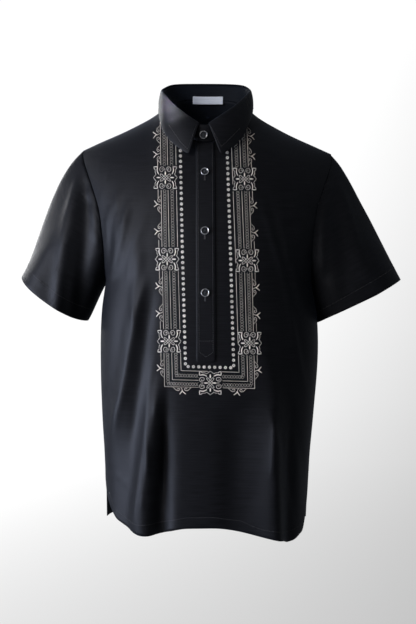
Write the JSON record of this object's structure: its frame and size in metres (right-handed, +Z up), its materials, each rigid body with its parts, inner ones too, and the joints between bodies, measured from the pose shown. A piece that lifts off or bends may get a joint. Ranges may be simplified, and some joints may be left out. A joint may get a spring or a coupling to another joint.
{
  "type": "barong tagalog shirt",
  "caption": "Short-sleeved barong tagalog pullover with a folded collar, half placket, side vents and set-in sleeves, filled out as if worn.",
  "frame": {"origin": "between the shoulders, level with the base of the neck at its sides, where the shirt rests on its wearer or form", "axes": "+Z up along the body, -Y out of the front with the placket, +X towards the wearer's left side"},
  "size_m": [0.6603, 0.2538, 0.7974],
  "materials": {
    "black_cloth": "fine black cloth with a soft sheen",
    "inside_cloth": "same cloth, wrong side out",
    "label_cloth": "blank woven label",
    "button_shell": "polished dark button with a pale rim"
  },
  "bodies": {
    "root": {"front": "black_cloth", "back": "black_cloth", "sleeve_left": "black_cloth", "sleeve_right": "black_cloth", "placket_upper": "black_cloth", "placket_under": "inside_cloth", "collar_stand": "black_cloth", "collar_leaf": "black_cloth", "neck_label": "label_cloth", "button_1": "button_shell", "button_2": "button_shell", "button_3": "button_shell", "button_4": "button_shell"}
  },
  "joints": []
}
